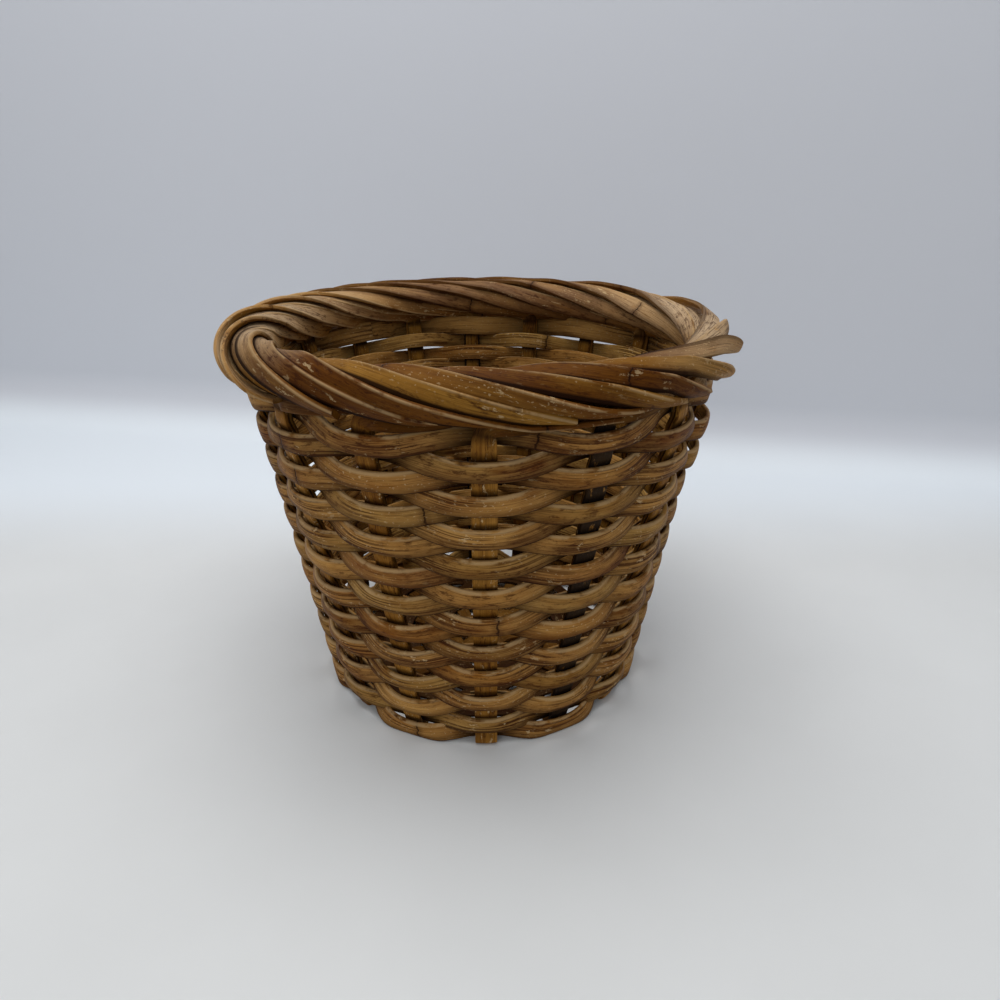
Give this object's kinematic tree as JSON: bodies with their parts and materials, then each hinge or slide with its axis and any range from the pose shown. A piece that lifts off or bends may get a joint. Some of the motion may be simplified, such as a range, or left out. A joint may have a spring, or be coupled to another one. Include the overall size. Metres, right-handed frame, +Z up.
{
  "type": "wicker basket planter",
  "caption": "Round flared basket planter of plain-woven split cane with a thick rolled border and an open woven base.",
  "frame": {"origin": "on the basket's axis, on the surface that it stands on", "axes": "+Z up along the axis, -Y towards the front, where the picture was taken from, +X to the right"},
  "size_m": [0.2389, 0.2397, 0.1893],
  "materials": {
    "split_cane": "satin",
    "blackened_cane": "satin",
    "by_stake_cane": "satin",
    "honey_cane": "satin",
    "olive_cane": "satin",
    "base_cane": "matt"
  },
  "bodies": {
    "root": {"long_split_1": "split_cane", "long_split_2": "split_cane", "long_split_3": "blackened_cane", "long_split_4": "split_cane", "long_split_5": "split_cane", "long_split_6": "split_cane", "long_split_7": "split_cane", "long_split_8": "split_cane", "by_stake_01": "by_stake_cane", "by_stake_02": "by_stake_cane", "by_stake_03": "by_stake_cane", "by_stake_04": "by_stake_cane", "by_stake_05": "by_stake_cane", "by_stake_06": "by_stake_cane", "by_stake_07": "by_stake_cane", "by_stake_08": "by_stake_cane", "by_stake_09": "by_stake_cane", "by_stake_10": "by_stake_cane", "by_stake_11": "by_stake_cane", "by_stake_12": "by_stake_cane", "by_stake_13": "by_stake_cane", "by_stake_14": "by_stake_cane", "by_stake_15": "by_stake_cane", "by_stake_16": "by_stake_cane", "wall_course_01": "honey_cane", "wall_course_02": "olive_cane", "wall_course_03": "honey_cane", "wall_course_04": "honey_cane", "wall_course_05": "olive_cane", "wall_course_06": "honey_cane", "wall_course_07": "honey_cane", "wall_course_08": "olive_cane", "wall_course_09": "honey_cane", "wall_course_10": "honey_cane", "wall_course_11": "olive_cane", "wall_course_12": "honey_cane", "wall_course_13": "honey_cane", "wall_course_14": "olive_cane", "wall_course_15": "honey_cane", "wall_course_16": "honey_cane", "wall_course_17": "olive_cane", "wall_course_18": "honey_cane", "wall_course_19": "honey_cane", "wall_course_20": "olive_cane", "wall_course_21": "honey_cane", "base_round_1": "base_cane", "base_round_2": "base_cane", "base_round_3": "base_cane", "base_round_4": "base_cane", "base_round_5": "base_cane", "base_round_6": "base_cane"}
  },
  "joints": []
}
